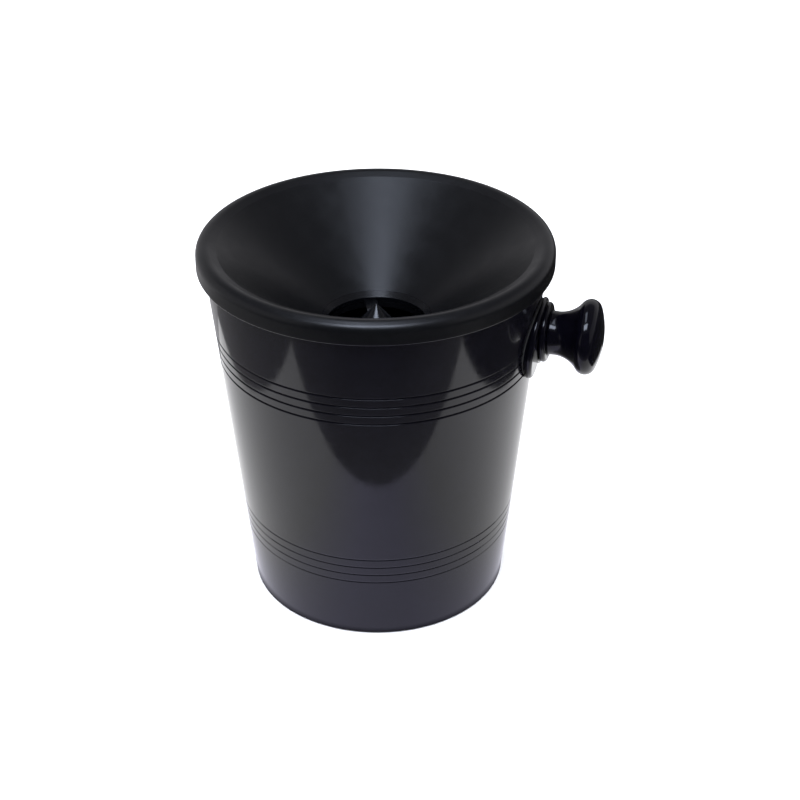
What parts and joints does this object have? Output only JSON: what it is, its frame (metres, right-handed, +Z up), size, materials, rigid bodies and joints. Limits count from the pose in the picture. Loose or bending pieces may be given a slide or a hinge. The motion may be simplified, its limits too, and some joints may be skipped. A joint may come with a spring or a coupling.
{
  "type": "tasting spittoon",
  "caption": "Tapered black plastic bucket with one side knob, a lift-off funnel lid and a drop-in splash cone in its throat.",
  "frame": {"origin": "on the bucket's axis, on the plane it stands on", "axes": "+Z up along the bucket's axis; the knob points along +X"},
  "size_m": [0.2478, 0.2156, 0.2349],
  "materials": {
    "gloss_black": "gloss, black",
    "satin_black": "fine satin, black",
    "insert_black": "semi-gloss, black",
    "knob_black": "high gloss, black",
    "seal_rubber": "matt, black",
    "stainless": "bright stainless",
    "brass": "plain brass"
  },
  "bodies": {
    "bucket_body": {"bucket": "gloss_black", "knob_grip": "knob_black", "knob_collar": "knob_black", "rosette": "knob_black", "rosette_gasket": "seal_rubber", "seal_washer": "seal_rubber", "screw_washer": "stainless", "knob_screw": "stainless", "knob_insert": "brass"},
    "lid": {"funnel_lid": "satin_black"},
    "cone": {"splash_cone": "insert_black"}
  },
  "joints": [
    {"name": "lid_lift", "type": "slide", "parent": "bucket_body", "child": "lid", "axis": [0, 0, 1], "range_m": [0, 0.1]},
    {"name": "cone_lift", "type": "slide", "parent": "lid", "child": "cone", "axis": [0, 0, 1], "range_m": [0, 0.08]}
  ]
}
